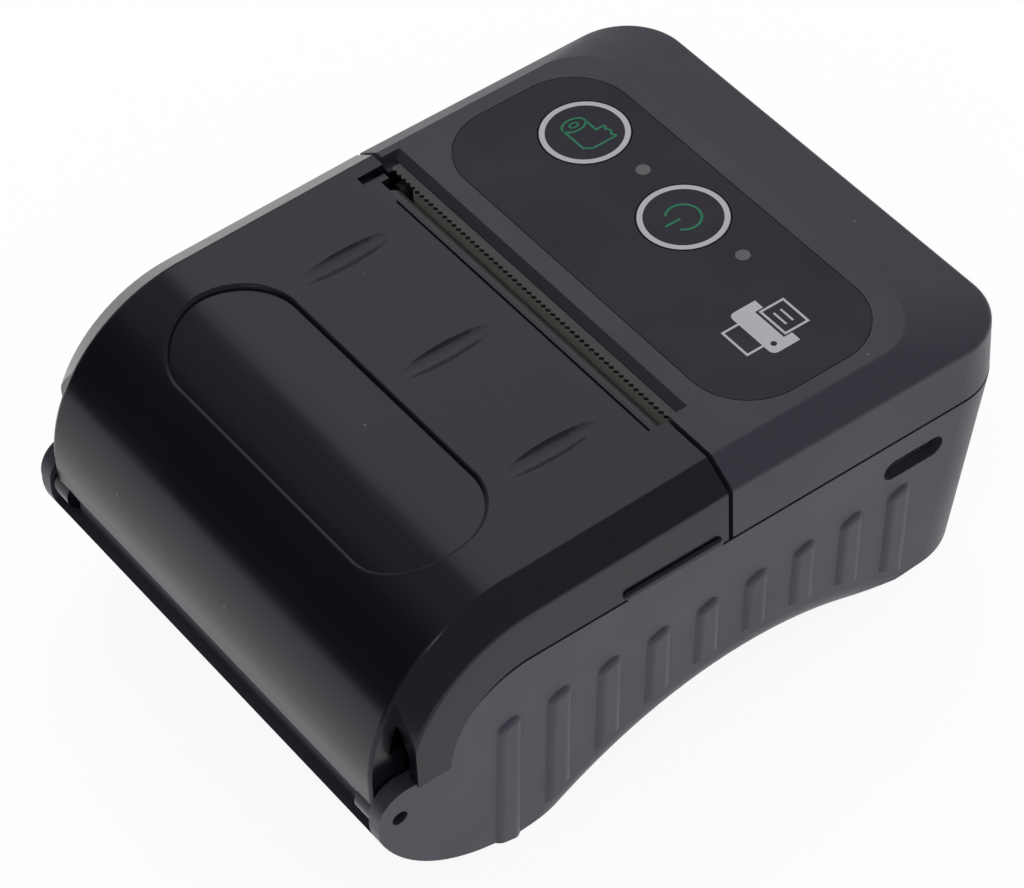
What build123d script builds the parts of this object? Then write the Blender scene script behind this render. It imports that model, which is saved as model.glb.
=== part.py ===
from build123d import *
from math import acos, cos, hypot, pi, radians, sin, sqrt, tan
import os

# Portable receipt printer, in millimetres.
# The pieces are drawn in the deck frame: Z = 0 is the control deck, Y = 0 is the joint between the deck and
# the paper door, the hinge is at -Y and +X is the side with the charging slot. The case is a wedge, so at
# the end every piece is turned by wedge_angle and set down on its feet.

# Case outline
body_width = 78.0
deck_width = 69.8
bevel_height = 2.9
panel_end_y = 46.6
far_bevel_length = 11.3
deck_corner_radius = 8.0
corner_radius = 9.0
parting_z = -11.4
parting_gap = 0.45
joint_gap = 0.7
wall = 2.0
edge_round = 0.8

# Lower case
side_draft = 4.5
end_base_y = 42.6
wedge_angle = 5.0
foot_z = -45.8
foot_y = -28.0
skirt_arc_y = -30.5
skirt_arc_radius = 12.5
shoulder_z = -22.9
ear_start_y = -48.5
hinge_foot_y = -32.5
hinge_slope_y = -46.4
hinge_slope_z = -40.2
foot_slope_y = -38.0
foot_slope_z = -44.8
cavity_slope_y = -42.0
cavity_slope_z = -37.5
underside_arch_start = -22.0
underside_arch_end = 29.0
underside_arch_height = 3.5
side_arch_y = 4.0
side_arch_z = -35.5
side_arch_radius = 66.0
side_arch_angle = 42.0
side_arch_round = 5.0

# Grip pads
pad_count = 9
pad_first_y = -36.1
pad_pitch = 7.7
pad_width = 4.7
pad_top_z = -19.7
pad_slant = 2.0
pad_rise = 0.5
pad_round = 1.6
pad_corner = 1.8
pad_root = 4.5
pad_foot_gap = 2.5

# Paper bay
bay_y = -27.0
bay_z = -22.5
bay_radius = 21.0
bay_left_x = -32.0
bay_right_x = 27.5
bay_wall = 1.5
bay_lip_z = -13.5

# Paper door
door_fall = 1.55
door_arc_y = -29.9
door_radius = 22.6
door_wall = 1.6
door_lip_z = -26.4
recess_left_x = -28.0
recess_right_x = 27.0
recess_near_y = -23.7
recess_far_y = -41.3
recess_depth = 0.6
recess_rim = 0.5
dimple_spacing = 21.6
dimple_centre_y = -14.2
dimple_length = 14.0
dimple_width = 3.3
dimple_depth = 0.28
ridge_start_y = -16.6
ridge_end_y = -1.4
ridge_height = 1.5
ridge_rise = 0.6
ridge_round = 0.5

# Hinge
hinge_y = -50.2
hinge_z = -28.0
pin_radius = 1.1
pin_gap = 0.05
pin_inner_x = 33.0
pin_outer_x = 36.5
arm_inner_x = 32.1
arm_outer_x = 35.3
arm_gap = 0.3
barrel_radius = 2.8
bead_radius = 1.6
hinge_wall_reach = 1.25
hinge_ledge_z = -31.3

# Paper slot and tear bar
slot_left_x = -32.6
slot_right_x = 26.9
slot_length = 4.5
ledge_z = -0.9
ledge_thickness = 0.8
ledge_edge_y = -2.0
ledge_rib_start_y = -2.5
ledge_rib_height = 0.3
tear_left_x = -32.4
tear_right_x = 27.6
tear_back_y = 2.2
tear_front_y = 0.6
tear_z = -1.1
tear_thickness = 0.5
tooth_pitch = 1.0
tooth_depth = 0.45
shelf_end_y = 3.2
shelf_front_y = 1.4

# Platen
platen_y = -2.6
platen_z = -6.0
platen_radius = 4.0
platen_left_x = -30.0
platen_right_x = 26.0
shaft_radius = 1.2
shaft_left_x = -32.4
shaft_right_x = 31.6
bush_radius = 2.2
bracket_left_x = -32.0
bracket_right_x = 26.6
bracket_thickness = 1.2
run_gap = 0.05
fit_gap = 0.02

# Gear train
gear_module = 0.4
platen_teeth = 18
small_teeth = 14
wheel_teeth = 36
pinion_teeth = 12
wheel_angle = -56.6
motor_angle = -14.0
inner_gear_x = 29.6
outer_gear_x = 31.8
gear_width = 1.8
backlash = 0.12
gear_axle_radius = 0.8
axle_cap_thickness = 0.6
motor_radius = 5.5
motor_length = 14.0
motor_shaft_radius = 0.6

# Print head
head_y = 1.7
head_top_z = -3.0
head_bottom_z = -13.0
head_left_x = -29.0
head_right_x = 26.0
ceramic_thickness = 1.0
sink_thickness = 1.5
head_axle_z = -14.6
head_axle_radius = 0.8
head_boss = 0.4
head_swing_gap = 0.3
spring_radius = 1.6
spring_z = -5.3
spring_left_x = -20.0
spring_right_x = 18.0

# Mechanism frame
frame_left_x = -31.2
frame_right_x = 29.2
frame_plate = 1.0
frame_front_y = 0.6
frame_back_y = 8.5
frame_side_end_y = 14.2
frame_top_z = -3.0
frame_base_z = -20.0
motor_side_x = 13.0
frame_bar_z = -7.6

# Control panel
overlay_near_y = 6.2
overlay_far_y = 32.5
overlay_width = 65.0
overlay_radius = 9.0
overlay_thickness = 0.4
overlay_gap = 0.12
button_radius = 6.1
button_gap = 0.15
button_thickness = 0.8
button_travel = 0.4
button_y = 23.7
feed_x = -20.9
power_x = -0.2
stem_radius = 2.2
switch_gap = 0.45
light_radius = 1.0
light_y = 25.2
light_left_x = -10.5
light_right_x = 10.0

# Boards
board_thickness = 1.2
key_board_z = -6.0
key_board_width = 56.0
key_board_near_y = 13.0
key_board_far_y = 32.0
key_post_x = 25.5
key_post_inset = 2.0
key_post_radius = 2.0
switch_size = 6.0
switch_height = 2.2
switch_plunger_radius = 1.7
main_board_z = -18.5
main_board_width = 68.4
main_board_near_y = 14.8
main_board_far_y = 43.0
main_board_corner = 7.5

# Charging socket
port_y = 29.7
port_z = -16.9
port_length = 9.6
port_height = 3.4
socket_length = 8.9
socket_height = 3.2
socket_shell = 0.3
socket_depth = 7.0
socket_front_x = 36.9
tongue_width = 6.4
tongue_thickness = 0.7

# Battery pack
battery_width = 54.0
battery_near_y = 9.0
battery_far_y = 39.0
battery_height = 12.0
battery_base_z = -34.5
battery_round = 2.0

# Fasteners
column_radius = 2.6
case_screw_radius = 1.0
case_screw_head_radius = 1.9
case_screw_head_height = 1.4
case_screw_seat_z = -34.0
case_screw_tip_z = -8.0
front_column_x = 31.5
front_column_y = 17.5
rear_column_x = 30.0
rear_column_y = 38.0
small_screw_radius = 0.8
small_screw_head_radius = 1.6
small_screw_head_height = 0.9
small_screw_bite = 2.8
frame_post_radius = 2.4
frame_post_y = 5.5
frame_post_left_x = -24.0
frame_post_right_x = 8.0

# Far outside every piece, for cutting tools
far = 70.0

half_width = body_width / 2
half_deck = deck_width / 2
rim_round = min(edge_round, 0.2 * abs(half_width - half_deck))
inner_ratio = 0.6
door_arc_z = tan(radians(door_fall)) * (door_arc_y - sin(radians(door_fall)) * door_radius)
door_arc_z -= door_radius * cos(radians(door_fall))


def side_plane(x):
    return Plane(origin=(x, 0, 0), x_dir=(0, 1, 0), z_dir=(1, 0, 0))


def block(x0, x1, y0, y1, z0, z1):
    size = (x1 - x0, y1 - y0, z1 - z0)
    return Pos((x0 + x1) / 2, (y0 + y1) / 2, (z0 + z1) / 2) * Box(*size)


def side_prism(points, x0, x1):
    face = make_face(side_plane(x0) * Polyline(*points, close=True))
    return extrude(face, amount=x1 - x0, dir=(1, 0, 0))


def rod(radius, x0, x1, y, z):
    return Pos((x0 + x1) / 2, y, z) * Rot(0, 90, 0) * Cylinder(radius, x1 - x0)


def post(radius, x, y, z0, z1):
    return Pos(x, y, (z0 + z1) / 2) * Cylinder(radius, z1 - z0)


def one_body(shape):
    solids = shape.solids()
    if len(solids) == 1:
        return solids[0]
    return Compound(children=list(solids))


# The standing plane's height under a point of the deck frame
def floor_z(y):
    return foot_z + (y - foot_y) * tan(radians(wedge_angle))


def door_profile(x, inset, front_y, low_z):
    fall = radians(door_fall)
    radius = door_radius - inset
    top_y = door_arc_y - radius * sin(fall)
    top_z = door_arc_z + radius * cos(fall)
    mid = radians(135)
    front_z = top_z + (front_y - top_y) * tan(fall)
    side_y = door_arc_y - radius
    edge = Line((front_y, front_z), (top_y, top_z))
    middle = (door_arc_y + radius * cos(mid), door_arc_z + radius * sin(mid))
    edge += ThreePointArc((top_y, top_z), middle, (side_y, door_arc_z))
    edge += Polyline((side_y, door_arc_z), (side_y, low_z), (front_y, low_z), (front_y, front_z))
    return make_face(side_plane(x) * edge)


# The volume under the door's outer skin, moved inwards by inset
def door_volume(inset, front_y, low_z):
    outer_x = half_width - inset
    deck_x = half_deck - inset * inner_ratio
    side_inset = bevel_height + inset * inner_ratio
    shape = extrude(door_profile(-deck_x, inset, front_y, low_z), amount=2 * deck_x, dir=(1, 0, 0))
    deck_edge = door_profile(deck_x, inset, front_y, low_z)
    side_edge = door_profile(outer_x, side_inset, front_y, low_z)
    bevel = loft([deck_edge, side_edge], ruled=True)
    return shape + bevel + mirror(bevel, about=Plane.YZ)


# The door's outer volume with the edges of its side bevels rounded
def soft_door_volume(front_y, low_z):
    shape = door_volume(0, front_y, low_z)
    edges = []
    for edge in shape.edges():
        middle = edge.center()
        on_deck = abs(abs(middle.X) - half_deck) < 0.01 or abs(abs(middle.X) - half_width) < 0.01
        on_top = edge.bounding_box().max.Z > -2 * bevel_height and middle.Y < front_y - 1
        if on_deck and on_top:
            edges.append(edge)
    return fillet(edges, rim_round)


def plan_outline(half, end_y, radius, near_y, z):
    edge = Polyline((-half, end_y - radius), (-half, near_y), (half, near_y), (half, end_y - radius))
    bend = radius * (1 - cos(radians(45)))
    edge += ThreePointArc((half, end_y - radius), (half - bend, end_y - bend), (half - radius, end_y))
    edge += Line((half - radius, end_y), (radius - half, end_y))
    edge += ThreePointArc((radius - half, end_y), (bend - half, end_y - bend), (-half, end_y - radius))
    return make_face(Plane.XY.offset(z) * edge)


# The volume under the deck, moved inwards by inset
def deck_volume(inset, near_y, low_z):
    outer = half_width - inset
    bevel_z = -bevel_height - inset * inner_ratio
    deck_end = panel_end_y - far_bevel_length - inset * inner_ratio
    rim = plan_outline(outer, panel_end_y - inset, corner_radius - inset, near_y, bevel_z)
    deck_half = half_deck - inset * inner_ratio
    deck_radius = deck_corner_radius - inset * inner_ratio
    deck = plan_outline(deck_half, deck_end, deck_radius, near_y, -inset)
    return loft([rim, deck], ruled=True) + extrude(rim, amount=bevel_z - low_z, dir=(0, 0, -1))


# The side outline of the lower case, below the parting curve, which is moved down by drop
def lower_profile(drop):
    top_z = parting_z - drop
    radius = skirt_arc_radius - drop
    arc_z = parting_z - skirt_arc_radius
    step_z = shoulder_z - drop
    step_y = skirt_arc_y - sqrt(radius ** 2 - (step_z - arc_z) ** 2)
    turn = (pi / 2 + acos(-(skirt_arc_y - step_y) / radius)) / 2
    ear_top = (ear_start_y, step_z)
    ear_side = (hinge_y - 3.1, hinge_z + 0.4)
    ear_low = (hinge_y - 2.4, hinge_z - 4.0)
    edge = Line((panel_end_y, top_z), (skirt_arc_y, top_z))
    middle = (skirt_arc_y + radius * cos(turn), arc_z + radius * sin(turn))
    edge += ThreePointArc((skirt_arc_y, top_z), middle, (step_y, step_z))
    edge += Line((step_y, step_z), ear_top)
    edge += ThreePointArc(ear_top, (hinge_y - 1.5, hinge_z + 4.0), ear_side)
    edge += ThreePointArc(ear_side, (hinge_y - 3.1, hinge_z - 1.6), ear_low)
    edge += ThreePointArc(ear_low, (hinge_slope_y, hinge_slope_z), (foot_slope_y, foot_slope_z))
    under = [(foot_slope_y, foot_slope_z), (hinge_foot_y, floor_z(hinge_foot_y))]
    under += [(end_base_y, floor_z(end_base_y)), (panel_end_y, top_z)]
    edge += Polyline(*under)
    return make_face(side_plane(-far) * edge)


# The side outline of the hollow in the lower case, open at the top
def cavity_profile(inset):
    top_z = parting_z + 2
    low = [(end_base_y - inset, floor_z(end_base_y) + inset)]
    low += [(hinge_foot_y + inset / 2, floor_z(hinge_foot_y) + inset)]
    low += [(cavity_slope_y, cavity_slope_z), (cavity_slope_y, top_z)]
    return make_face(side_plane(-far) * Polyline((panel_end_y - inset, top_z), *low, close=True))


def drafted_sides(inset, shift=0.0):
    slope = tan(radians(side_draft))
    high = half_width - inset + slope * (far + parting_z) + shift
    low = half_width - inset - slope * (far + parting_z) + shift
    top_z = parting_z + far + parting_z
    low_z = parting_z - far - parting_z
    corners = [(-high, top_z), (high, top_z), (low, low_z), (-low, low_z)]
    face = make_face(Plane.XZ.offset(-far) * Polyline(*corners, close=True))
    return extrude(face, amount=2 * far, dir=(0, -1, 0))


# The curved hollow under the middle, moved inwards by inset
def underside_cutters(inset):
    tilt = radians(wedge_angle)
    chord = (underside_arch_end - underside_arch_start) / cos(tilt)
    height = underside_arch_height
    radius = (chord ** 2 / 4 + height ** 2) / (2 * height)
    mid_y = (underside_arch_start + underside_arch_end) / 2
    centre_y = mid_y + (radius - height) * sin(tilt)
    centre_z = floor_z(mid_y) - (radius - height) * cos(tilt)
    cutters = [rod(radius + inset, -far, far, centre_y, centre_z)]
    lean = radians(side_arch_angle)
    top_x = half_width - tan(radians(side_draft)) * (parting_z - side_arch_z)
    axis_z = side_arch_z - side_arch_radius / cos(lean)
    for side in (-1, 1):
        turn = Rot(0, 90 - side * side_arch_angle, 0)
        tool = Cylinder(side_arch_radius + inset, 2 * far)
        cutters.append(Pos(side * top_x, side_arch_y, axis_z) * turn * tool)
    return cutters


# The edges where the side walls meet the arches under them
def arch_edges(shape):
    edges = shape.edges().filter_by(lambda e: abs(e.center().X) > half_width - 3 and e.length > 30)
    edges = edges.filter_by(lambda e: abs(e.center().Y - side_arch_y) < 6)
    return edges.filter_by(lambda e: abs(e.center().Z - side_arch_z) < 5)


# The volume of the lower case, moved inwards by inset
def lower_volume(inset):
    profile = cavity_profile(inset) if inset > 0 else lower_profile(parting_gap / 2)
    shape = extrude(profile, amount=2 * far, dir=(1, 0, 0)) & drafted_sides(inset)
    corners = shape.edges().filter_by(lambda e: e.center().Y > end_base_y - inset - 3)
    corners = corners.filter_by(lambda e: abs(e.center().X) > 30 and e.length > 20)
    corners = corners.filter_by(lambda e: abs(e.tangent_at(0.5).Z) > 0.9)
    shape = fillet(corners, corner_radius - inset)
    for cutter in underside_cutters(inset):
        shape -= cutter
    if inset == 0:
        shape = fillet(arch_edges(shape), side_arch_round)
    return shape


def grip_pads(shell):
    pads = []
    for index in range(pad_count):
        near = pad_first_y + index * pad_pitch
        top = [(near, pad_top_z - pad_slant), (near + pad_width, pad_top_z)]
        outline = top + [(near + pad_width, -far), (near, -far)]
        pad = side_prism(outline, half_width - pad_root, half_width + 5)
        tops = pad.edges().filter_by(Axis.X).group_by(Axis.Z)[-2:]
        pad = fillet([edge for group in tops for edge in group], pad_corner) & drafted_sides(0, pad_rise)
        face = pad.faces().sort_by(Axis.X)[-1]
        edges = face.edges().filter_by(lambda e: e.center().Z > -far + 1)
        pad = fillet(edges, pad_round)
        for cutter in underside_cutters(pad_foot_gap)[1:]:
            pad -= cutter
        pads.append(pad)
    right = Compound(children=[p.solids()[0] for p in pads]) & (Pos(pad_rise, 0, 0) * shell)
    left = mirror(right, about=Plane.YZ)
    return right, left


def column_places():
    front = [(-front_column_x, front_column_y), (front_column_x, front_column_y)]
    rear = [(-rear_column_x, rear_column_y), (rear_column_x, rear_column_y)]
    return front + rear


def lower_case():
    shell = lower_volume(0)
    cavity = lower_volume(wall)
    bay_out = rod(bay_radius + bay_wall, bay_left_x - bay_wall, bay_right_x + bay_wall, bay_y, bay_z)
    lip_y = bay_y + sqrt(bay_radius ** 2 - (bay_lip_z - bay_z) ** 2)
    bay_out = bay_out - block(-far, far, -far, far, bay_lip_z, far)
    case = shell - (cavity - bay_out)
    bay_in = rod(bay_radius, bay_left_x, bay_right_x, bay_y, bay_z)
    bay_in += block(bay_left_x, bay_right_x, hinge_y + 2.6, lip_y, bay_lip_z, far)
    case -= bay_in
    case -= block(bay_left_x, bay_right_x, hinge_y + 2.6, hinge_slope_y + 12, shoulder_z + 3, far)
    hinge_cut = block(-arm_outer_x - arm_gap, arm_outer_x + arm_gap, -far, hinge_y, hinge_ledge_z, far)
    hinge_cut += block(-arm_outer_x - arm_gap, arm_outer_x + arm_gap, -far, bay_y, hinge_z + 1.5, far)
    hinge_fill = block(-far, far, hinge_y - hinge_wall_reach, hinge_y + 1, hinge_ledge_z - 1, hinge_z)
    hinge_fill += rod(bead_radius, -far, far, hinge_y, hinge_z)
    reach = arm_inner_x - arm_gap
    hinge_fill = hinge_fill & block(-reach, reach, -far, 0, -far, 0)
    case = (case - hinge_cut) + hinge_fill
    for side in (-1, 1):
        inner = side * (arm_inner_x - arm_gap)
        outer = side * (arm_outer_x + arm_gap)
        low, high = min(inner, outer), max(inner, outer)
        case -= block(low, high, -far, hinge_y + barrel_radius + arm_gap, hinge_ledge_z, far)
        case -= rod(pin_radius + fit_gap, *sorted((side * pin_inner_x, side * far)), hinge_y, hinge_z)
    for x, y in column_places():
        case += post(column_radius, x, y, -far, main_board_z - board_thickness) & shell
    for x in (frame_post_left_x, frame_post_right_x):
        case += post(frame_post_radius, x, frame_post_y, -far, frame_base_z - frame_plate) & shell
    for y in (battery_near_y + 3, battery_far_y - 5):
        case += block(-20, 20, y, y + 2, -far, battery_base_z) & shell
    for x, y in column_places():
        case -= post(case_screw_radius + 0.1, x, y, -far, 0)
        case -= post(case_screw_head_radius + 0.2, x, y, -far, case_screw_seat_z)
    for x in (frame_post_left_x, frame_post_right_x):
        top = frame_base_z - frame_plate
        case -= post(small_screw_radius + fit_gap, x, frame_post_y, top - small_screw_bite - 0.5, top)
    slot = side_plane(half_width - 6) * Pos(port_y, port_z) * SlotOverall(port_length, port_height)
    case -= extrude(slot, amount=10, dir=(1, 0, 0))
    for pads in grip_pads(shell):
        case += pads
    return case


def upper_case():
    near_y = joint_gap / 2
    low_z = parting_z + parting_gap / 2
    shell = deck_volume(0, near_y, low_z)
    rims = []
    for edge in shell.edges():
        box = edge.bounding_box()
        level = min(abs(box.max.Z), abs(box.max.Z + bevel_height))
        if level < 0.001 and box.size.Z < 0.001 and edge.center().Y > near_y + 0.1:
            rims.append(edge)
    case = fillet(rims, rim_round) - deck_volume(wall, near_y - 1, low_z - 1)
    for x, y in column_places():
        case += post(column_radius, x, y, main_board_z, -wall + 0.5)
    for x, y in key_posts():
        case += post(key_post_radius, x, y, key_board_z, -wall + 0.5)
    for x, y in column_places():
        case -= post(case_screw_radius + fit_gap, x, y, main_board_z - 1, case_screw_tip_z + 0.5)
    for x, y in key_posts():
        case -= post(small_screw_radius + fit_gap, x, y, key_board_z - 1, key_board_z + small_screw_bite + 0.2)
    case -= overlay_sheet(0)
    for x in (feed_x, power_x):
        pocket = button_thickness + button_travel + 0.1
        case -= post(button_radius + button_gap, x, button_y, -pocket, 1)
        case -= post(stem_radius + button_gap, x, button_y, -far, 1)
    for x in (light_left_x, light_right_x):
        case -= post(light_radius + run_gap, x, light_y, -far, 1)
    floor = tear_z - tear_thickness
    slope = [(-1, floor), (tear_back_y, floor), (tear_back_y, tear_z), (shelf_end_y, 0), (shelf_end_y, 1)]
    case -= side_prism(slope + [(-1, 1)], tear_left_x - 1.4, tear_right_x - 1.1)
    case -= block(tear_left_x - 0.1, tear_right_x + 0.1, -1, tear_back_y, floor, tear_z)
    case -= block(tear_left_x, tear_right_x, -1, shelf_front_y, -wall - 1, floor + 0.1)
    return case


def overlay_sheet(gap):
    centre_y = (overlay_near_y + overlay_far_y) / 2
    length = overlay_far_y - overlay_near_y
    sketch = RectangleRounded(overlay_width - 2 * gap, length - 2 * gap, overlay_radius - gap)
    return extrude(Pos(0, centre_y, -overlay_thickness) * sketch, amount=overlay_thickness + (0 if gap else 1))


def control_panel():
    sheet = overlay_sheet(overlay_gap)
    for x in (feed_x, power_x):
        sheet -= post(button_radius + button_gap, x, button_y, -1, 1)
    for x in (light_left_x, light_right_x):
        sheet -= post(light_radius + run_gap, x, light_y, -1, 1)
    return sheet


def button(x):
    switch_top = key_board_z + switch_height + 0.4
    cap = post(button_radius, x, button_y, -button_thickness, 0)
    return cap + post(stem_radius, x, button_y, switch_top + switch_gap, -button_thickness)


def light_guides():
    guides = [post(light_radius, x, light_y, key_board_z, 0) for x in (light_left_x, light_right_x)]
    return Compound(children=[g.solids()[0] for g in guides])


def tear_bar():
    count = int((tear_right_x - tear_left_x) / tooth_pitch)
    points = [(tear_left_x, tear_back_y - 0.1), (tear_left_x, tear_front_y + tooth_depth)]
    for index in range(count):
        start = tear_left_x + index * tooth_pitch
        points.append((start + tooth_pitch / 2, tear_front_y))
        points.append((start + tooth_pitch, tear_front_y + tooth_depth))
    points.append((tear_right_x, tear_back_y - 0.1))
    face = make_face(Plane.XY.offset(tear_z - tear_thickness) * Polyline(*points, close=True))
    return extrude(face, amount=tear_thickness, dir=(0, 0, 1))


def door_recess():
    width = recess_right_x - recess_left_x
    height = recess_near_y - recess_far_y
    centre = Pos((recess_left_x + recess_right_x) / 2, (recess_near_y + recess_far_y) / 2, -20)
    stadium = extrude(centre * SlotOverall(width, height), amount=far)
    layer = door_volume(-1, 5, -40) - door_volume(recess_depth, 6, -41)
    return stadium & layer


# The upper edges of the recess's upright walls
def recess_rims(door):
    rims = []
    for face in door.faces():
        box = face.bounding_box()
        across = recess_left_x - 0.1 < box.min.X and box.max.X < recess_right_x + 0.1
        along = recess_far_y - 0.1 < box.min.Y and box.max.Y < recess_near_y + 0.1
        if across and along and abs(face.normal_at().Z) < 0.05:
            middles = [(e.center(), e) for e in face.edges() if e.length > 4 * recess_depth]
            for middle, edge in middles:
                above = [m for m, e in middles if hypot(m.X - middle.X, m.Y - middle.Y) < 0.3 and m.Z > middle.Z]
                if not above:
                    rims.append(edge)
    return rims


def door_dimple(x):
    depth, width, length = dimple_depth, dimple_width, dimple_length
    lift = (width ** 2 / 4 / depth - depth) / 2
    radius = lift + depth
    half = length / 2
    edge = Polyline((-half, lift), (-half, 0), (half, 0), (half, lift))
    edge += ThreePointArc((half, lift), (0, radius), (-half, lift))
    spindle = revolve(make_face(edge), Axis.X, 360)
    surface_z = tan(radians(door_fall)) * dimple_centre_y
    turn = Rot(door_fall, 0, 0) * Rot(0, 0, 90)
    return Pos(x, dimple_centre_y, surface_z + lift) * turn * spindle


def paper_door():
    front_y = -joint_gap / 2
    gap = parting_gap / 2
    low_z = -40
    volume = soft_door_volume(front_y, low_z)
    skin = volume - door_volume(door_wall, front_y + 1, low_z - 1)
    below = extrude(lower_profile(-gap), amount=2 * far, dir=(1, 0, 0))
    below += block(-far, far, skirt_arc_y, far, -far, parting_z + gap)
    below += block(-far, far, hinge_slope_y, skirt_arc_y, -far, parting_z - skirt_arc_radius)
    skirt_in = half_width - door_wall - 0.4
    door = skin - (below & (block(-far, -skirt_in, -far, far, -far, 0) + block(skirt_in, far, -far, far, -far, 0)))
    door -= block(-far, far, -far, far, low_z - 2, door_lip_z)
    for side in (-1, 1):
        low, high = sorted((side * arm_outer_x, side * far))
        door -= block(low, high, -far, hinge_y + 2.2, -far, far)
    for side in (-1, 1):
        low, high = sorted((side * arm_inner_x, side * arm_outer_x))
        web = block(low, high, hinge_y - 4, hinge_y + barrel_radius, hinge_z, hinge_z + 9) & volume
        arm = web + rod(barrel_radius, low, high, hinge_y, hinge_z)
        bore = sorted((side * pin_inner_x, side * far))
        door = (door + arm) - rod(pin_radius + pin_gap, *bore, hinge_y, hinge_z)
    door -= door_recess()
    door = fillet(recess_rims(door), recess_rim)
    for x in (-dimple_spacing, 0, dimple_spacing):
        door -= door_dimple(x)
    door -= block(slot_left_x, slot_right_x, -slot_length, 1, ledge_z, 1)
    door -= block(slot_left_x, slot_right_x, ledge_edge_y, 1, -far, 1)
    door -= block(slot_left_x, slot_right_x, -slot_length - 1, 1, -far, ledge_z - ledge_thickness)
    door += block(slot_left_x, slot_right_x, -slot_length - 0.1, ledge_edge_y, ledge_z - ledge_thickness, ledge_z)
    rib_top = ledge_z + ledge_rib_height
    door += block(slot_left_x + 6, slot_right_x, ledge_rib_start_y, ledge_edge_y, ledge_z, rib_top)
    for x in (bracket_left_x, bracket_right_x):
        plate = block(x, x + bracket_thickness, platen_y - 3.4, platen_y + 1.9, platen_z, -0.9)
        plate += rod(bush_radius + 1.2, x, x + bracket_thickness, platen_y, platen_z)
        door += plate & door_volume(0.8, front_y, low_z)
        door -= rod(bush_radius + fit_gap, x - 0.1, x + bracket_thickness + 0.1, platen_y, platen_z)
    ridge_z = parting_z + gap + ridge_height / 2 + 0.05
    ridge_y = (ridge_start_y + ridge_end_y) / 2
    length = ridge_end_y - ridge_start_y
    for side in (-1, 1):
        low = half_width - door_wall if side > 0 else -half_width - ridge_rise
        sketch = side_plane(low) * Pos(ridge_y, ridge_z) * SlotOverall(length, ridge_height)
        ridge = extrude(sketch, amount=door_wall + ridge_rise, dir=(1, 0, 0))
        end = ridge.faces().sort_by(Axis.X)[-1 if side > 0 else 0]
        door += fillet(end.edges(), ridge_round)
    return door


def hinge_pins():
    pins = []
    for side in (-1, 1):
        low, high = sorted((side * pin_inner_x, side * pin_outer_x))
        pins.append(rod(pin_radius, low, high, hinge_y, hinge_z).solids()[0])
    return Compound(children=pins)


def platen_bushings():
    bushes = []
    for x in (bracket_left_x, bracket_right_x):
        ring = rod(bush_radius, x, x + bracket_thickness, platen_y, platen_z)
        ring -= rod(shaft_radius + run_gap, x - 1, x + 3, platen_y, platen_z)
        bushes.append(ring.solids()[0])
    return Compound(children=bushes)


def platen_rubber():
    tube = rod(platen_radius, platen_left_x, platen_right_x, platen_y, platen_z)
    return tube - rod(shaft_radius + fit_gap, platen_left_x - 1, platen_right_x + 1, platen_y, platen_z)


def tooth_outline(teeth, phase):
    pitch_radius = gear_module * teeth / 2
    base_radius = pitch_radius * cos(radians(20))
    tip_radius = pitch_radius + gear_module
    root_radius = pitch_radius - 1.25 * gear_module
    half_tooth = (pi * gear_module / 2 - backlash) / (2 * pitch_radius)
    spread = tan(radians(20)) - radians(20)
    flank = []
    steps = 4
    start = max(base_radius, root_radius)
    for index in range(steps + 1):
        radius = start + (tip_radius - start) * index / steps
        roll = acos(min(1.0, base_radius / radius))
        flank.append((radius, half_tooth + spread - (tan(roll) - roll)))
    flank.insert(0, (root_radius, flank[0][1]))
    points = []
    for index in range(teeth):
        centre = radians(phase) + 2 * pi * index / teeth
        for radius, angle in flank:
            points.append((radius * cos(centre - angle), radius * sin(centre - angle)))
        for radius, angle in reversed(flank):
            points.append((radius * cos(centre + angle), radius * sin(centre + angle)))
    return points


def gear(teeth, phase, x, y, z, bore):
    points = [(y + u, z + v) for u, v in tooth_outline(teeth, phase)]
    return side_prism(points, x, x + gear_width) - rod(bore, x - 1, x + gear_width + 1, y, z)


# The phase of a gear that meshes with another one, whose own phase is known
def mesh_phase(driver_teeth, driver_phase, teeth, angle):
    step = 360 / driver_teeth
    share = ((angle - driver_phase) % step) / step
    return angle + 180 + (share + 0.5) * 360 / teeth


wheel_distance = gear_module * (platen_teeth + small_teeth) / 2
wheel_y = platen_y + wheel_distance * cos(radians(wheel_angle))
wheel_z = platen_z + wheel_distance * sin(radians(wheel_angle))
motor_distance = gear_module * (wheel_teeth + pinion_teeth) / 2
motor_y = wheel_y + motor_distance * cos(radians(motor_angle))
motor_z = wheel_z + motor_distance * sin(radians(motor_angle))


def platen_gear():
    return gear(platen_teeth, 0, inner_gear_x, platen_y, platen_z, shaft_radius + fit_gap)


def reduction_gear():
    bore = gear_axle_radius + run_gap
    phase = mesh_phase(platen_teeth, 0, small_teeth, wheel_angle)
    small = gear(small_teeth, phase, inner_gear_x, wheel_y, wheel_z, bore)
    wheel = gear(wheel_teeth, 0, outer_gear_x, wheel_y, wheel_z, bore)
    hub = rod(gear_module * small_teeth / 2 - 0.5, inner_gear_x + gear_width, outer_gear_x, wheel_y, wheel_z)
    hub -= rod(bore, inner_gear_x, outer_gear_x + 1, wheel_y, wheel_z)
    return small + hub + wheel


def motor_pinion():
    phase = mesh_phase(wheel_teeth, 0, pinion_teeth, motor_angle)
    pinion = gear(pinion_teeth, phase, outer_gear_x, motor_y, motor_z, motor_shaft_radius)
    return pinion + rod(motor_shaft_radius, frame_right_x - 3, outer_gear_x + gear_width + 0.4, motor_y, motor_z)


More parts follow.
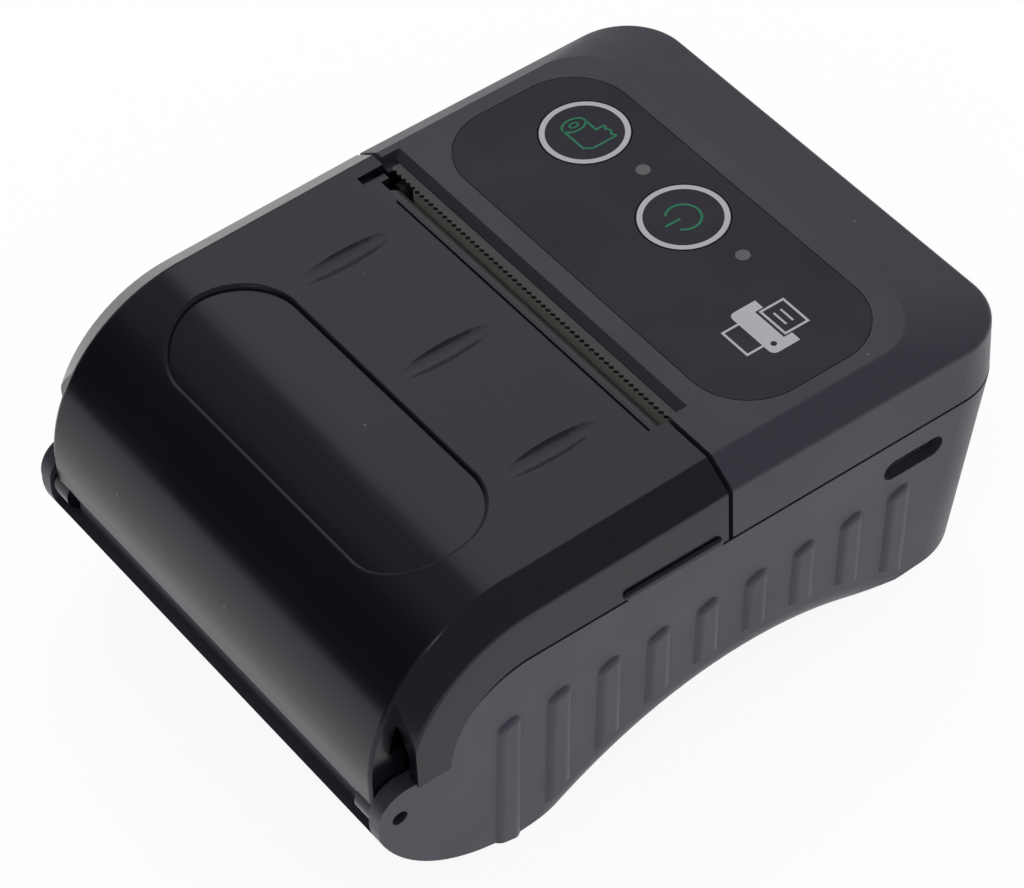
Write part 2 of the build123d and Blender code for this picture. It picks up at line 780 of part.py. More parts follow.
def gear_axle():
    low = frame_right_x - frame_plate
    cap = outer_gear_x + gear_width + 0.2
    high = cap + axle_cap_thickness
    axle = rod(gear_axle_radius, low, high, wheel_y, wheel_z)
    return axle + rod(gear_axle_radius + 0.5, cap, high, wheel_y, wheel_z)


def stepper_motor():
    face_x = frame_right_x - frame_plate
    can = rod(motor_radius, face_x - motor_length, face_x, motor_y, motor_z)
    can = fillet(can.edges().sort_by(Axis.X)[0], 0.8)
    return can - rod(motor_shaft_radius + run_gap, face_x - 2.2, face_x + 1, motor_y, motor_z)


def print_head():
    return block(head_left_x, head_right_x, head_y, head_y + ceramic_thickness, head_bottom_z, head_top_z)


def head_heat_sink():
    front = head_y + ceramic_thickness
    axle_y = front + sink_thickness / 2
    sink = block(head_left_x, head_right_x, front, front + sink_thickness, head_axle_z, head_top_z)
    sink += rod(head_axle_radius + head_boss, head_left_x, head_right_x, axle_y, head_axle_z)
    return sink - rod(head_axle_radius + fit_gap, head_left_x - 1, head_right_x + 1, axle_y, head_axle_z)


def head_axle():
    axle_y = head_y + ceramic_thickness + sink_thickness / 2
    return rod(head_axle_radius, frame_left_x, frame_right_x, axle_y, head_axle_z)


def head_springs():
    near = head_y + ceramic_thickness + sink_thickness + head_swing_gap
    far_y = frame_back_y - frame_plate
    springs = []
    for x in (spring_left_x, spring_right_x):
        tube = Pos(x, (near + far_y) / 2, spring_z) * Rot(90, 0, 0) * Cylinder(spring_radius, far_y - near)
        tube -= Pos(x, (near + far_y) / 2, spring_z) * Rot(90, 0, 0) * Cylinder(spring_radius - 0.4, far_y)
        springs.append(tube.solids()[0])
    return Compound(children=springs)


def mechanism_frame():
    axle_y = head_y + ceramic_thickness + sink_thickness / 2
    low = frame_base_z - frame_plate
    left = block(frame_left_x, frame_left_x + frame_plate, frame_front_y, frame_back_y, low, frame_top_z)
    right_x = frame_right_x - frame_plate
    right = block(right_x, frame_right_x, frame_front_y, frame_side_end_y, frame_base_z, frame_top_z)
    back = block(frame_left_x, frame_right_x, frame_back_y - frame_plate, frame_back_y, frame_bar_z, frame_top_z)
    wide = block(frame_left_x, motor_side_x, frame_back_y - frame_plate, frame_back_y, low, frame_top_z)
    base = block(frame_left_x, motor_side_x, frame_front_y, frame_back_y, low, frame_base_z)
    frame = left + right + back + wide + base
    for x in (frame_post_left_x, frame_post_right_x):
        frame -= post(small_screw_radius + 0.1, x, frame_post_y, -far, frame_base_z + 1)
    for x in (frame_left_x, right_x):
        frame -= rod(head_axle_radius + run_gap, x - 1, x + 2, axle_y, head_axle_z)
    frame -= rod(gear_axle_radius + fit_gap, right_x - 1, frame_right_x + 1, wheel_y, wheel_z)
    frame -= rod(motor_shaft_radius + 0.6, right_x - 1, frame_right_x + 1, motor_y, motor_z)
    return frame


def small_screw(x, y, seat_z, way):
    shank = sorted((seat_z, seat_z - way * (small_screw_bite + board_thickness)))
    head = sorted((seat_z, seat_z + way * small_screw_head_height))
    screw = post(small_screw_radius, x, y, *shank) + post(small_screw_head_radius, x, y, *head)
    return screw.solids()[0]


def key_posts():
    near = key_board_near_y + key_post_inset
    far_y = key_board_far_y - key_post_inset
    return [(x, y) for x in (-key_post_x, key_post_x) for y in (near, far_y)]


def frame_screws():
    places = (frame_post_left_x, frame_post_right_x)
    return Compound(children=[small_screw(x, frame_post_y, frame_base_z, 1) for x in places])


def board_screws():
    seat = key_board_z - board_thickness
    return Compound(children=[small_screw(x, y, seat, -1) for x, y in key_posts()])


def case_screws():
    screws = []
    for x, y in column_places():
        seat = case_screw_seat_z
        screw = post(case_screw_radius, x, y, seat, case_screw_tip_z)
        screw += post(case_screw_head_radius, x, y, seat - case_screw_head_height, seat)
        screws.append(screw.solids()[0])
    return Compound(children=screws)


def key_board():
    half = key_board_width / 2
    board = block(-half, half, key_board_near_y, key_board_far_y, key_board_z - board_thickness, key_board_z)
    for x, y in key_posts():
        board -= post(small_screw_radius + 0.1, x, y, key_board_z - 5, key_board_z + 5)
    return board


def key_switches():
    switches = []
    for x in (feed_x, power_x):
        half = switch_size / 2
        body = block(x - half, x + half, button_y - half, button_y + half, key_board_z, key_board_z + switch_height)
        top = key_board_z + switch_height
        body += post(switch_plunger_radius, x, button_y, top, top + 0.4)
        switches.append(body.solids()[0])
    return Compound(children=switches)


def main_board():
    half = main_board_width / 2
    low = main_board_z - board_thickness
    board = block(-half, half, main_board_near_y, main_board_far_y, low, main_board_z)
    corners = board.edges().filter_by(Axis.Z).group_by(Axis.Y)[-1]
    board = fillet(corners, main_board_corner)
    for x, y in column_places():
        board -= post(case_screw_radius + 0.1, x, y, low - 1, main_board_z + 1)
    return board


def usb_socket():
    base_z = main_board_z
    plane = side_plane(socket_front_x - socket_depth)
    middle = base_z + socket_height / 2
    outline = plane * Pos(port_y, middle) * SlotOverall(socket_length, socket_height)
    shell = extrude(outline, amount=socket_depth, dir=(1, 0, 0))
    inner_length = socket_length - 2 * socket_shell
    inner_height = socket_height - 2 * socket_shell
    back = side_plane(socket_front_x - socket_depth + 1)
    hollow = back * Pos(port_y, middle) * SlotOverall(inner_length, inner_height)
    shell -= extrude(hollow, amount=socket_depth, dir=(1, 0, 0))
    low, high = middle - tongue_thickness / 2, middle + tongue_thickness / 2
    reach = tongue_width / 2
    tongue = block(socket_front_x - socket_depth, socket_front_x - 0.8, port_y - reach, port_y + reach, low, high)
    return shell + tongue


def battery_pack():
    half = battery_width / 2
    pack = block(-half, half, battery_near_y, battery_far_y, battery_base_z, battery_base_z + battery_height)
    return fillet(pack.edges().filter_by(Axis.X), battery_round)


def build_all():
    shapes = {
        "lower_case": lower_case(),
        "upper_case": upper_case(),
        "control_panel": control_panel(),
        "feed_button": button(feed_x),
        "power_button": button(power_x),
        "light_guides": light_guides(),
        "tear_bar": tear_bar(),
        "paper_door": paper_door(),
        "hinge_pins": hinge_pins(),
        "platen_shaft": rod(shaft_radius, shaft_left_x, shaft_right_x, platen_y, platen_z),
        "platen_rubber": platen_rubber(),
        "platen_gear": platen_gear(),
        "platen_bushings": platen_bushings(),
        "print_head": print_head(),
        "head_heat_sink": head_heat_sink(),
        "head_axle": head_axle(),
        "head_springs": head_springs(),
        "mechanism_frame": mechanism_frame(),
        "frame_screws": frame_screws(),
        "stepper_motor": stepper_motor(),
        "motor_pinion": motor_pinion(),
        "reduction_gear": reduction_gear(),
        "gear_axle": gear_axle(),
        "key_board": key_board(),
        "key_switches": key_switches(),
        "board_screws": board_screws(),
        "main_board": main_board(),
        "usb_socket": usb_socket(),
        "battery_pack": battery_pack(),
        "case_screws": case_screws(),
    }
    return shapes


# Turn the printer onto its feet, with the origin under the middle of its box
def stand(shapes):
    turned = {name: Rot(-wedge_angle, 0, 0) * one_body(shape) for name, shape in shapes.items()}
    boxes = [shape.bounding_box() for shape in turned.values()]
    middle_x = (min(b.min.X for b in boxes) + max(b.max.X for b in boxes)) / 2
    middle_y = (min(b.min.Y for b in boxes) + max(b.max.Y for b in boxes)) / 2
    floor = min(b.min.Z for b in boxes)
    print("shift", -middle_x, -middle_y, -floor)
    return {name: Pos(-middle_x, -middle_y, -floor) * shape for name, shape in turned.items()}


os.makedirs("parts", exist_ok=True)
for name, shape in stand(build_all()).items():
    export_step(shape, "parts/" + name + ".step")
    print(name, "written")
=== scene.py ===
import math

import bmesh
import bpy
from mathutils import Matrix, Vector


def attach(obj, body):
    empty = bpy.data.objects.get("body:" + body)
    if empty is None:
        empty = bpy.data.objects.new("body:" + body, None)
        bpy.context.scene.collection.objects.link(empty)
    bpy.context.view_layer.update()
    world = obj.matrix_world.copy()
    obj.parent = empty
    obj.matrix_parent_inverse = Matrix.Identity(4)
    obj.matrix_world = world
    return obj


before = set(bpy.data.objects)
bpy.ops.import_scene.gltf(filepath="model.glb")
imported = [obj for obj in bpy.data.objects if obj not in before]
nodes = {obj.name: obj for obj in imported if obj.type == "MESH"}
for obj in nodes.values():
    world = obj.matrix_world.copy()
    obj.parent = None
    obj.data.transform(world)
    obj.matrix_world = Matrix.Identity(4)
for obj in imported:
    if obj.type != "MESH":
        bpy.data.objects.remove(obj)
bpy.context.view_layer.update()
print("printer parts loaded:", len(nodes))

# The deck of the printer slopes: its own frame has Z = 0 on the control deck and Y = 0 at the paper slot
deck = {
    "slope": -5.0,  # degrees about X
    "shift": (0.0, 4.782, 43.1854),  # mm
}
deckShift = Matrix.Translation([v / 1000 for v in deck["shift"]])
deckMatrix = deckShift @ Matrix.Rotation(math.radians(deck["slope"]), 4, "X")

# Materials


def newMaterial(name):
    made = bpy.data.materials.new(name)
    made.use_nodes = True
    tree = made.node_tree
    shader = tree.nodes["Principled BSDF"]
    return made, tree, shader


def noiseTexture(tree, place, scale, detail):
    noise = tree.nodes.new("ShaderNodeTexNoise")
    noise.inputs["Scale"].default_value = scale
    noise.inputs["Detail"].default_value = detail
    tree.links.new(place.outputs["Object"], noise.inputs["Vector"])
    return noise


def bumpFrom(tree, noise, height):
    bump = tree.nodes.new("ShaderNodeBump")
    bump.inputs["Strength"].default_value = 1.0
    bump.inputs["Distance"].default_value = height
    tree.links.new(noise.outputs["Fac"], bump.inputs["Height"])
    return bump


bumps = {"grainDetail": 3.0, "waveDetail": 1.0}


# The grain and the slow wave are each given as (noise scale, height in metres)
def grainBump(tree, shader, place, grain, wave=None):
    bump = bumpFrom(tree, noiseTexture(tree, place, grain[0], bumps["grainDetail"]), grain[1])
    if wave:
        slow = bumpFrom(tree, noiseTexture(tree, place, wave[0], bumps["waveDetail"]), wave[1])
        tree.links.new(bump.outputs["Normal"], slow.inputs["Normal"])
        bump = slow
    tree.links.new(bump.outputs["Normal"], shader.inputs["Normal"])


smudges = {"detail": 4.0, "noiseLow": 0.3, "noiseHigh": 0.7}


def variedRoughness(tree, shader, place, scale, low, high):
    noise = noiseTexture(tree, place, scale, smudges["detail"])
    spread = tree.nodes.new("ShaderNodeMapRange")
    spread.inputs["From Min"].default_value = smudges["noiseLow"]
    spread.inputs["From Max"].default_value = smudges["noiseHigh"]
    spread.inputs["To Min"].default_value = low
    spread.inputs["To Max"].default_value = high
    tree.links.new(noise.outputs["Fac"], spread.inputs["Value"])
    tree.links.new(spread.outputs["Result"], shader.inputs["Roughness"])


dust = {
    "colour": (0.16, 0.16, 0.17),
    "cells": 330,
    "speck": 0.075,  # radius of a speck, as a share of its cell
    "share": 0.16,  # share of the cells that hold a speck
}


def lessThan(tree, output, limit):
    test = tree.nodes.new("ShaderNodeMath")
    test.operation = "LESS_THAN"
    test.inputs[1].default_value = limit
    tree.links.new(output, test.inputs[0])
    return test


def dustyColour(tree, shader, place, base):
    cells = tree.nodes.new("ShaderNodeTexVoronoi")
    cells.inputs["Scale"].default_value = dust["cells"]
    tree.links.new(place.outputs["Object"], cells.inputs["Vector"])
    near = lessThan(tree, cells.outputs["Distance"], dust["speck"])
    picked = lessThan(tree, cells.outputs["Color"], dust["share"])
    both = tree.nodes.new("ShaderNodeMath")
    both.operation = "MULTIPLY"
    tree.links.new(near.outputs[0], both.inputs[0])
    tree.links.new(picked.outputs[0], both.inputs[1])
    mix = tree.nodes.new("ShaderNodeMix")
    mix.data_type = "RGBA"
    mix.inputs["A"].default_value = (*base, 1)
    mix.inputs["B"].default_value = (*dust["colour"], 1)
    tree.links.new(both.outputs[0], mix.inputs["Factor"])
    tree.links.new(mix.outputs["Result"], shader.inputs["Base Color"])


plastic = {
    "caseColour": (0.057, 0.056, 0.077),
    "caseRough": 0.42,
    "caseGrain": (2600, 0.000012),
    "doorColour": (0.0095, 0.0095, 0.0145),
    "doorRough": 0.2,
    "doorGrain": (1500, 0.0000015),
    "doorWave": (70, 0.00004),
    "doorSpecular": 0.38,
    "panelColour": (0.031, 0.0305, 0.044),
    "panelRough": 0.62,
    "panelGrain": (4200, 0.00003),
    "tint": (0.86, 0.87, 1.0),
    "refraction": 1.5,
    "smudgeScale": 60,
    "smoothest": 0.9,  # shares of the roughness
    "roughest": 1.12,
}


def mouldedPlastic(name, colour, rough, grain, dusty=True, wave=None, specular=0.5):
    made, tree, shader = newMaterial(name)
    place = tree.nodes.new("ShaderNodeTexCoord")
    shader.inputs["Base Color"].default_value = (*colour, 1)
    shader.inputs["IOR"].default_value = plastic["refraction"]
    shader.inputs["Specular IOR Level"].default_value = specular
    shader.inputs["Specular Tint"].default_value = (*plastic["tint"], 1)
    grainBump(tree, shader, place, grain, wave)
    low, high = rough * plastic["smoothest"], rough * plastic["roughest"]
    variedRoughness(tree, shader, place, plastic["smudgeScale"], low, high)
    if dusty:
        dustyColour(tree, shader, place, colour)
    return made


metal = {"grain": (900, 0.00001), "smudgeScale": 400, "smoothest": 0.8, "roughest": 1.25}


def plainMetal(name, colour, rough):
    made, tree, shader = newMaterial(name)
    place = tree.nodes.new("ShaderNodeTexCoord")
    shader.inputs["Base Color"].default_value = (*colour, 1)
    shader.inputs["Metallic"].default_value = 1.0
    grainBump(tree, shader, place, metal["grain"])
    variedRoughness(
        tree, shader, place, metal["smudgeScale"], rough * metal["smoothest"], rough * metal["roughest"]
    )
    return made


plain = {
    "grain": (1500, 0.00001),
    "rubberGrain": (2200, 0.00005),
    "smudgeScale": 500,
    "smoothest": 0.9,
    "roughest": 1.1,
}


def plainFinish(name, colour, rough, grain=plain["grain"]):
    made, tree, shader = newMaterial(name)
    place = tree.nodes.new("ShaderNodeTexCoord")
    shader.inputs["Base Color"].default_value = (*colour, 1)
    grainBump(tree, shader, place, grain)
    variedRoughness(
        tree, shader, place, plain["smudgeScale"], rough * plain["smoothest"], rough * plain["roughest"]
    )
    return made


casePlastic = mouldedPlastic("casePlastic", plastic["caseColour"], plastic["caseRough"], plastic["caseGrain"])
doorPlastic = mouldedPlastic(
    "doorPlastic",
    plastic["doorColour"],
    plastic["doorRough"],
    plastic["doorGrain"],
    wave=plastic["doorWave"],
    specular=plastic["doorSpecular"],
)
panelFilm = mouldedPlastic(
    "panelFilm", plastic["panelColour"], plastic["panelRough"], plastic["panelGrain"], dusty=False
)
lightPipe = plainFinish("lightPipe", (0.15, 0.15, 0.16), 0.35)
bladeSteel = plainFinish("bladeSteel", (0.02, 0.02, 0.022), 0.3)
turnedSteel = plainMetal("turnedSteel", (0.56, 0.56, 0.58), 0.25)
sheetSteel = plainMetal("sheetSteel", (0.5, 0.51, 0.53), 0.35)
rollerRubber = plainFinish("rollerRubber", (0.17, 0.17, 0.18), 0.7, plain["rubberGrain"])
gearAcetal = plainFinish("gearAcetal", (0.72, 0.72, 0.68), 0.45)
headCeramic = plainFinish("headCeramic", (0.7, 0.68, 0.62), 0.3)
sinkAluminium = plainMetal("sinkAluminium", (0.72, 0.73, 0.75), 0.4)
turnedBrass = plainMetal("turnedBrass", (0.75, 0.56, 0.25), 0.3)
boardGreen = plainFinish("boardGreen", (0.012, 0.12, 0.05), 0.35)
switchPlastic = plainFinish("switchPlastic", (0.03, 0.03, 0.03), 0.5)
batteryFilm = plainFinish("batteryFilm", (0.03, 0.06, 0.3), 0.25)
whiteInk = plainFinish("whiteInk", (0.9, 0.9, 0.95), 0.6)
greenInk = plainFinish("greenInk", (0.03, 0.3, 0.16), 0.6)

finishes = {
    "lower_case": casePlastic,
    "upper_case": casePlastic,
    "control_panel": panelFilm,
    "feed_button": panelFilm,
    "power_button": panelFilm,
    "light_guides": lightPipe,
    "tear_bar": bladeSteel,
    "paper_door": doorPlastic,
    "hinge_pins": bladeSteel,
    "platen_shaft": turnedSteel,
    "platen_rubber": rollerRubber,
    "platen_gear": gearAcetal,
    "platen_bushings": turnedBrass,
    "print_head": headCeramic,
    "head_heat_sink": sinkAluminium,
    "head_axle": turnedSteel,
    "head_springs": turnedSteel,
    "mechanism_frame": sheetSteel,
    "frame_screws": turnedSteel,
    "stepper_motor": sheetSteel,
    "motor_pinion": turnedBrass,
    "reduction_gear": gearAcetal,
    "gear_axle": turnedSteel,
    "key_board": boardGreen,
    "key_switches": switchPlastic,
    "board_screws": turnedSteel,
    "main_board": boardGreen,
    "usb_socket": turnedSteel,
    "battery_pack": batteryFilm,
    "case_screws": turnedSteel,
}
for nodeName, finish in finishes.items():
    thing = nodes[nodeName]
    if not thing.material_slots:
        thing.data.materials.append(finish)
    for held in thing.material_slots:
        held.material = finish
print("finishes put on", len(finishes), "parts")

# Printed marks: flat ink shapes on the deck, drawn in the deck's own millimetres
ink = {
    "lift": 0.012,  # above the deck
    "thick": 0.02,
    "dotRise": 0.6,  # share of the thickness by which the dot lies above its mark
    "sharpest": 0.35,  # limit on how far a line's corner may reach out
}


def ribbon(work, points, width, closed=False):
    count = len(points)
    left, right = [], []
    for index, here in enumerate(points):
        before = points[index - 1] if closed or index else here
        after = points[(index + 1) % count] if closed or index < count - 1 else here
        into, out = Vector(here) - Vector(before), Vector(after) - Vector(here)
        into = into.normalized() if into.length else out.normalized()
        out = out.normalized() if out.length else into
        side = Vector((-(into + out).y, (into + out).x)).normalized()
        reach = width / 2 / max(ink["sharpest"], side.dot(Vector((-into.y, into.x))))
        left.append(work.verts.new((here[0] + side.x * reach, here[1] + side.y * reach, 0)))
        right.append(work.verts.new((here[0] - side.x * reach, here[1] - side.y * reach, 0)))
    for index in range(count if closed else count - 1):
        other = (index + 1) % count
        work.faces.new((left[index], right[index], right[other], left[other]))


def filled(work, points):
    work.faces.new([work.verts.new((x, y, 0)) for x, y in points])


def arc(cx, cy, rx, ry, start, end, steps):
    turns = [math.radians(start + (end - start) * i / steps) for i in range(steps + 1)]
    return [(cx + rx * math.cos(t), cy + ry * math.sin(t)) for t in turns]


# A closed ring stops one step short of its start
def ring(cx, cy, rx, ry, corners):
    return arc(cx, cy, rx, ry, 0, 360 - 360 / corners, corners - 1)


def printedMark(name, work, body, finish, extraLift=0):
    bmesh.ops.recalc_face_normals(work, faces=work.faces[:])
    top = bmesh.ops.extrude_face_region(work, geom=work.faces[:])
    raised = [v for v in top["geom"] if isinstance(v, bmesh.types.BMVert)]
    bmesh.ops.translate(work, verts=raised, vec=(0, 0, ink["thick"]))
    bmesh.ops.recalc_face_normals(work, faces=work.faces[:])
    bmesh.ops.scale(work, vec=(0.001, 0.001, 0.001), verts=work.verts[:])
    shape = bpy.data.meshes.new(name)
    work.to_mesh(shape)
    work.free()
    mark = bpy.data.objects.new(name, shape)
    bpy.context.scene.collection.objects.link(mark)
    mark.matrix_world = deckMatrix @ Matrix.Translation((0, 0, (ink["lift"] + extraLift) / 1000))
    shape.materials.append(finish)
    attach(mark, body)


buttons = {"feedX": -20.9, "powerX": -0.2, "y": 23.7, "ringOuter": 6.0, "ringInner": 5.25, "ringCorners": 144}


def makeButtonRings():
    middle = (buttons["ringOuter"] + buttons["ringInner"]) / 2
    width = buttons["ringOuter"] - buttons["ringInner"]
    for label, x, body in (("feed", buttons["feedX"], "feed_key"), ("power", buttons["powerX"], "power_key")):
        work = bmesh.new()
        ribbon(work, ring(x, buttons["y"], middle, middle, buttons["ringCorners"]), width, closed=True)
        printedMark(label + "_ring", work, body, whiteInk)


# A paper roll seen from its side with a torn sheet, measured from the button's centre
feedMark = {
    "line": 0.34,
    "rollX": -2.0,
    "rollY": -0.3,
    "rollWide": 1.15,
    "rollHigh": 1.75,
    "coreShare": 0.36,
    "coreLineShare": 0.8,
    "rollCorners": 60,
    "coreCorners": 24,
    "sheetStart": 0.3,
    "sheetLeft": 0.5,
    "sheetBend": 2.3,
    "sheetRight": 3.1,
    "bendHigh": 1.0,
    "sideTop": 2.7,
    "sheetTop": 2.9,
    "toothDepth": 0.4,
    "toothSides": 4,
}


def makeFeedMark():
    work = bmesh.new()
    x, y, line = buttons["feedX"], buttons["y"], feedMark["line"]
    rollX, rollY = x + feedMark["rollX"], y + feedMark["rollY"]
    wide, high = feedMark["rollWide"], feedMark["rollHigh"]
    core = feedMark["coreShare"]
    left, right = x + feedMark["sheetLeft"], x + feedMark["sheetRight"]
    bottom, top = rollY - high, y + feedMark["sheetTop"]
    bend = (right, bottom + feedMark["bendHigh"])
    ribbon(work, ring(rollX, rollY, wide, high, feedMark["rollCorners"]), line, closed=True)
    coreRing = ring(rollX, rollY, wide * core, high * core, feedMark["coreCorners"])
    ribbon(work, coreRing, line * feedMark["coreLineShare"], closed=True)
    ribbon(work, [(rollX, bottom), (x + feedMark["sheetBend"], bottom), bend], line)
    ribbon(work, [bend, (right, y + feedMark["sideTop"])], line)
    ribbon(work, [(rollX + feedMark["sheetStart"], rollY + high), (left, rollY + high), (left, top)], line)
    tooth = (right - left) / feedMark["toothSides"]
    tornEdge = [
        (left + tooth * i, top - (feedMark["toothDepth"] if i % 2 else 0))
        for i in range(feedMark["toothSides"] + 1)
    ]
    ribbon(work, tornEdge, line)
    printedMark("feed_mark", work, "feed_key", greenInk)


powerMark = {"radius": 2.35, "line": 0.36, "gap": 42, "steps": 64, "barOut": 0.55, "bar": 2.4}


def makePowerMark():
    work = bmesh.new()
    x, y, radius = buttons["powerX"], buttons["y"], powerMark["radius"]
    gap = powerMark["gap"]  # degrees, on each side of the bar
    ribbon(work, arc(x, y, radius, radius, -90 + gap, 270 - gap, powerMark["steps"]), powerMark["line"])
    barLow = y - radius - powerMark["barOut"]
    ribbon(work, [(x, barLow), (x, barLow + powerMark["bar"])], powerMark["line"])
    printedMark("power_mark", work, "power_key", greenInk)


printerMark = {
    "left": 17.4,
    "right": 26.3,
    "bodyNear": 16.9,
    "bodyFar": 21.2,
    "near": 14.4,
    "far": 24.1,
    "line": 0.34,
    "corner": 0.9,
    "cornerSteps": 6,
    "sheetInset": 2.0,
    "notchInset": 1.6,
    "notchDeep": 1.3,
    "trayDeep": 0.75,
    "textInset": 3.2,
    "textSteps": (1.15, 2.25),
    "textShare": 0.85,
    "dotInset": 1.5,
    "dotUp": 1.3,
    "dotRadius": 0.42,
    "dotCorners": 30,
}


def makePrinterMark():
    work = bmesh.new()
    low, high, line = printerMark["left"], printerMark["right"], printerMark["line"]
    near, far = printerMark["bodyNear"], printerMark["bodyFar"]
    sheetLow, sheetHigh = low + printerMark["sheetInset"], high - printerMark["sheetInset"]
    sheetEnd = printerMark["near"]
    ribbon(work, [(sheetLow, near), (sheetLow, sheetEnd), (sheetHigh, sheetEnd), (sheetHigh, near)], line)
    corner, steps = printerMark["corner"], printerMark["cornerSteps"]
    notchLow, notchHigh = low + printerMark["notchInset"], high - printerMark["notchInset"]
    notchEnd = far - printerMark["notchDeep"]
    body = arc(high - corner, near + corner, corner, corner, -90, 0, steps)
    body += [(high, far), (notchHigh, far), (notchHigh, notchEnd)]
    body += [(notchLow, notchEnd), (notchLow, far), (low, far)]
    body += arc(low + corner, near + corner, corner, corner, 180, 270, steps)
    filled(work, body)
    trayNear, trayFar = far - printerMark["trayDeep"], printerMark["far"]
    tray = [(sheetLow, trayNear), (sheetLow, trayFar), (sheetHigh, trayFar), (sheetHigh, trayNear)]
    ribbon(work, tray, line, closed=True)
    textLow, textHigh = low + printerMark["textInset"], high - printerMark["textInset"]
    textLine = line * printerMark["textShare"]
    for step in printerMark["textSteps"]:
        ribbon(work, [(textLow, trayNear + step), (textHigh, trayNear + step)], textLine)
    printedMark("printer_mark", work, "case", whiteInk)
    spot = bmesh.new()
    radius = printerMark["dotRadius"]
    dotX, dotY = high - printerMark["dotInset"], near + printerMark["dotUp"]
    filled(spot, ring(dotX, dotY, radius, radius, printerMark["dotCorners"]))
    dotLift = ink["thick"] * ink["dotRise"]
    printedMark("printer_mark_dot", spot, "case", panelFilm, dotLift)


makeButtonRings()
makeFeedMark()
makePowerMark()
makePrinterMark()
print("printed marks drawn")

# Studio
lamps = {
    "aim": (0, 0, 0.02),
    "softboxPlace": (-0.85, 0.72, 1.15),
    "softboxSize": 0.9,
    "softboxPower": 2.3,
    "keyPlace": (0.3, -0.75, 1.25),
    "keySize": 0.22,
    "keyPower": 0.7,
    "sidePlace": (1.3, 0.15, 0.35),
    "sideSize": 0.6,
    "sidePower": 0.06,
}


def softLamp(name, place, size, power):
    lampData = bpy.data.lights.new(name, "AREA")
    lampData.shape = "SQUARE"
    lampData.size = size
    lampData.energy = power
    lamp = bpy.data.objects.new(name, lampData)
    lamp.location = place
    lamp.rotation_mode = "QUATERNION"
    lamp.rotation_quaternion = (Vector(lamps["aim"]) - Vector(place)).to_track_quat("-Z", "Y")
    bpy.context.scene.collection.objects.link(lamp)


# One side of the sky is dim, which gives the glossy door its dark band. The camera sees plain white.
sky = {
    "level": 0.37,
    "darkLevel": 0.05,
    "darkSide": (-0.57, -0.76, 0.31),
    "fadeStart": 0.72,  # cosines of the angle from the dark side
    "fadeEnd": 0.95,
}


def makeSky():
    world = bpy.data.worlds.new("studioWorld")
    bpy.context.scene.world = world
    world.use_nodes = True
    tree = world.node_tree
    lit = tree.nodes["Background"]
    lit.inputs["Color"].default_value = (1, 1, 1, 1)
    seen = tree.nodes.new("ShaderNodeBackground")
    seen.inputs["Color"].default_value = (1, 1, 1, 1)
    seen.inputs["Strength"].default_value = 1.0
    rays = tree.nodes.new("ShaderNodeLightPath")
    mix = tree.nodes.new("ShaderNodeMixShader")
    tree.links.new(rays.outputs["Is Camera Ray"], mix.inputs["Fac"])
    tree.links.new(lit.outputs["Background"], mix.inputs[1])
    tree.links.new(seen.outputs["Background"], mix.inputs[2])
    tree.links.new(mix.outputs["Shader"], tree.nodes["World Output"].inputs["Surface"])
    place = tree.nodes.new("ShaderNodeTexCoord")
    turn = tree.nodes.new("ShaderNodeVectorMath")
    turn.operation = "DOT_PRODUCT"
    turn.inputs[1].default_value = sky["darkSide"]
    fade = tree.nodes.new("ShaderNodeMapRange")
    fade.interpolation_type = "SMOOTHSTEP"
    fade.inputs["From Min"].default_value = sky["fadeStart"]
    fade.inputs["From Max"].default_value = sky["fadeEnd"]
    fade.inputs["To Min"].default_value = sky["level"]
    fade.inputs["To Max"].default_value = sky["darkLevel"]
    tree.links.new(place.outputs["Generated"], turn.inputs[0])
    tree.links.new(turn.outputs["Value"], fade.inputs["Value"])
    tree.links.new(fade.outputs["Result"], lit.inputs["Strength"])


floorSheet = {"half": 4.0, "colour": (0.86, 0.86, 0.86), "rough": 0.9, "glow": 0.74, "level": 1.22}


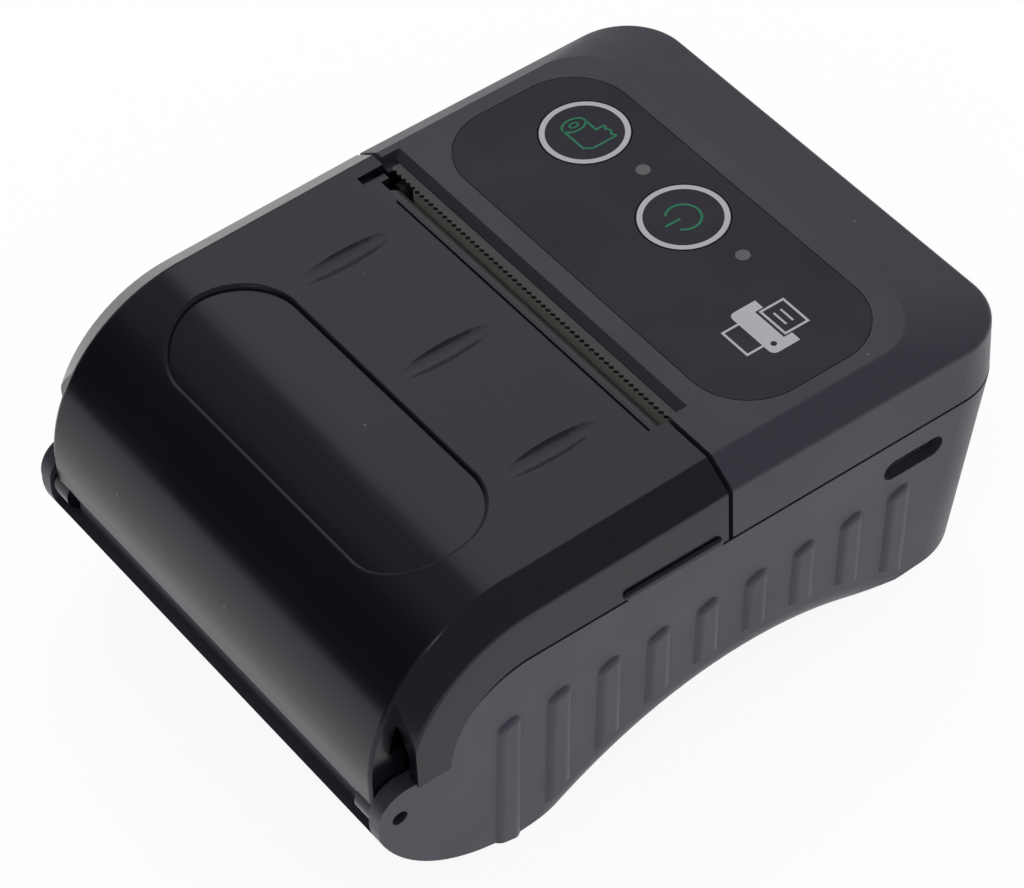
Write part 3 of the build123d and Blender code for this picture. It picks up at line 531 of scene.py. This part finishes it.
# White paper that glows where the camera or a reflection sees it
def floorPaper():
    made, tree, shader = newMaterial("floorPaper")
    shader.inputs["Base Color"].default_value = (*floorSheet["colour"], 1)
    shader.inputs["Roughness"].default_value = floorSheet["rough"]
    shader.inputs["Specular IOR Level"].default_value = 0.0
    glow = tree.nodes.new("ShaderNodeEmission")
    glow.inputs["Color"].default_value = (1, 1, 1, 1)
    glow.inputs["Strength"].default_value = floorSheet["level"]
    rays = tree.nodes.new("ShaderNodeLightPath")
    seen = tree.nodes.new("ShaderNodeMath")
    seen.operation = "MAXIMUM"
    tree.links.new(rays.outputs["Is Camera Ray"], seen.inputs[0])
    tree.links.new(rays.outputs["Is Glossy Ray"], seen.inputs[1])
    share = tree.nodes.new("ShaderNodeMath")
    share.operation = "MULTIPLY"
    share.inputs[1].default_value = floorSheet["glow"]
    tree.links.new(seen.outputs[0], share.inputs[0])
    mix = tree.nodes.new("ShaderNodeMixShader")
    tree.links.new(share.outputs[0], mix.inputs["Fac"])
    tree.links.new(shader.outputs["BSDF"], mix.inputs[1])
    tree.links.new(glow.outputs["Emission"], mix.inputs[2])
    tree.links.new(mix.outputs["Shader"], tree.nodes["Material Output"].inputs["Surface"])
    return made


def makeFloor():
    half = floorSheet["half"]
    corners = [(-half, -half, 0), (half, -half, 0), (half, half, 0), (-half, half, 0)]
    floorMesh = bpy.data.meshes.new("studioFloor")
    floorMesh.from_pydata(corners, [], [(0, 1, 2, 3)])
    floorMesh.materials.append(floorPaper())
    studioFloor = bpy.data.objects.new("studioFloor", floorMesh)
    bpy.context.scene.collection.objects.link(studioFloor)


softLamp("softbox", lamps["softboxPlace"], lamps["softboxSize"], lamps["softboxPower"])
softLamp("keyLamp", lamps["keyPlace"], lamps["keySize"], lamps["keyPower"])
softLamp("sideLamp", lamps["sidePlace"], lamps["sideSize"], lamps["sidePower"])
makeSky()
makeFloor()
print("studio set")

# The camera stands where the photograph was taken from
cameraPlace = {
    "location": (0.32907, -0.19142, 0.45351),
    "azimuth": 60.084,  # degrees, as the elevation and the roll
    "elevation": 48.74,
    "roll": -9.4,
    "lens": 157.22,  # mm, as the sensor
    "sensor": 36,
    "nearest": 0.01,
}


def placeCamera():
    cameraData = bpy.data.cameras.new("photoCamera")
    cameraData.lens = cameraPlace["lens"]
    cameraData.sensor_width = cameraPlace["sensor"]
    cameraData.clip_start = cameraPlace["nearest"]
    photoCamera = bpy.data.objects.new("photoCamera", cameraData)
    turn, rise = math.radians(cameraPlace["azimuth"]), math.radians(cameraPlace["elevation"])
    back = Vector((math.sin(turn) * math.cos(rise), -math.cos(turn) * math.cos(rise), math.sin(rise)))
    looking = (-back).to_track_quat("-Z", "Y").to_matrix().to_4x4()
    tilt = Matrix.Rotation(math.radians(cameraPlace["roll"]), 4, "Z")
    photoCamera.location = cameraPlace["location"]
    photoCamera.rotation_mode = "QUATERNION"
    photoCamera.rotation_quaternion = (looking @ tilt).to_quaternion()
    bpy.context.scene.collection.objects.link(photoCamera)
    bpy.context.scene.camera = photoCamera


placeCamera()
bpy.context.scene.view_settings.view_transform = "Standard"
print("camera placed")

bpy.context.view_layer.update()
